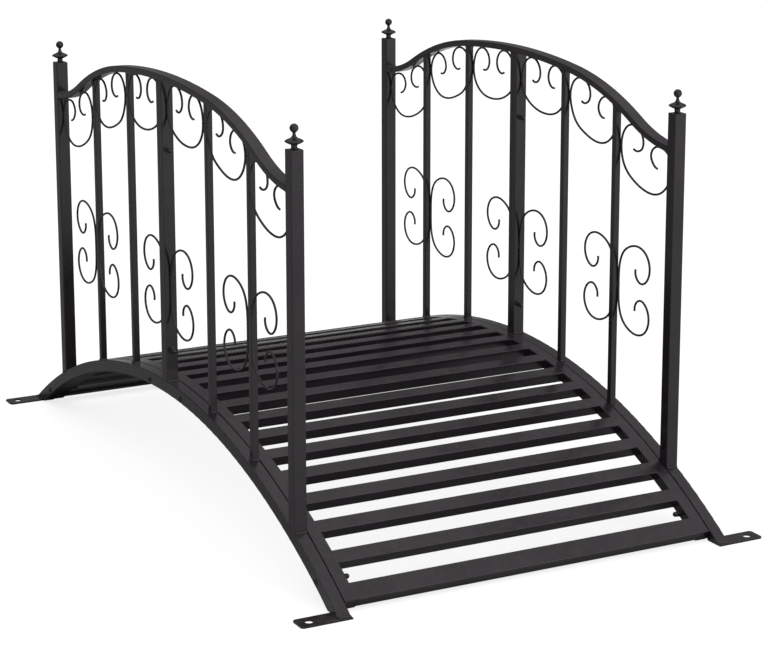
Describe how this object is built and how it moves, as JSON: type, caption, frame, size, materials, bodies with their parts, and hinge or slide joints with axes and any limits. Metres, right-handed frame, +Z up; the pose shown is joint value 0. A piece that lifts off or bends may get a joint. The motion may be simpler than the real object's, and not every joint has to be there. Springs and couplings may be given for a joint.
{
  "type": "arched metal garden bridge",
  "caption": "Small arched steel garden bridge with a slatted deck and two scrollwork railings, coated satin black, with knobs on the end posts.",
  "frame": {"origin": "on the ground, midway between the railings and midway along the bridge", "axes": "+X across the walkway, +Y along the walkway, +Z up"},
  "size_m": [0.96, 1.536, 0.8405],
  "materials": {
    "powder_coat": "satin black powder coat on steel"
  },
  "bodies": {
    "root": {"right_far_bottom_rail": "powder_coat", "right_far_top_rail": "powder_coat", "right_far_end_post": "powder_coat", "right_far_middle_post": "powder_coat", "right_far_inner_baluster": "powder_coat", "right_far_outer_baluster": "powder_coat", "right_far_post_knob": "powder_coat", "right_far_bay_scrolls": "powder_coat", "right_far_post_scrolls": "powder_coat", "right_far_foot_plate": "powder_coat", "right_far_stringer": "powder_coat", "left_far_bottom_rail": "powder_coat", "left_far_top_rail": "powder_coat", "left_far_end_post": "powder_coat", "left_far_middle_post": "powder_coat", "left_far_inner_baluster": "powder_coat", "left_far_outer_baluster": "powder_coat", "left_far_post_knob": "powder_coat", "left_far_bay_scrolls": "powder_coat", "left_far_post_scrolls": "powder_coat", "left_far_foot_plate": "powder_coat", "left_far_stringer": "powder_coat", "right_near_bottom_rail": "powder_coat", "right_near_top_rail": "powder_coat", "right_near_end_post": "powder_coat", "right_near_middle_post": "powder_coat", "right_near_inner_baluster": "powder_coat", "right_near_outer_baluster": "powder_coat", "right_near_post_knob": "powder_coat", "right_near_bay_scrolls": "powder_coat", "right_near_post_scrolls": "powder_coat", "right_near_foot_plate": "powder_coat", "right_near_stringer": "powder_coat", "left_near_bottom_rail": "powder_coat", "left_near_top_rail": "powder_coat", "left_near_end_post": "powder_coat", "left_near_middle_post": "powder_coat", "left_near_inner_baluster": "powder_coat", "left_near_outer_baluster": "powder_coat", "left_near_post_knob": "powder_coat", "left_near_bay_scrolls": "powder_coat", "left_near_post_scrolls": "powder_coat", "left_near_foot_plate": "powder_coat", "left_near_stringer": "powder_coat", "far_slats": "powder_coat", "near_slats": "powder_coat"}
  },
  "joints": []
}
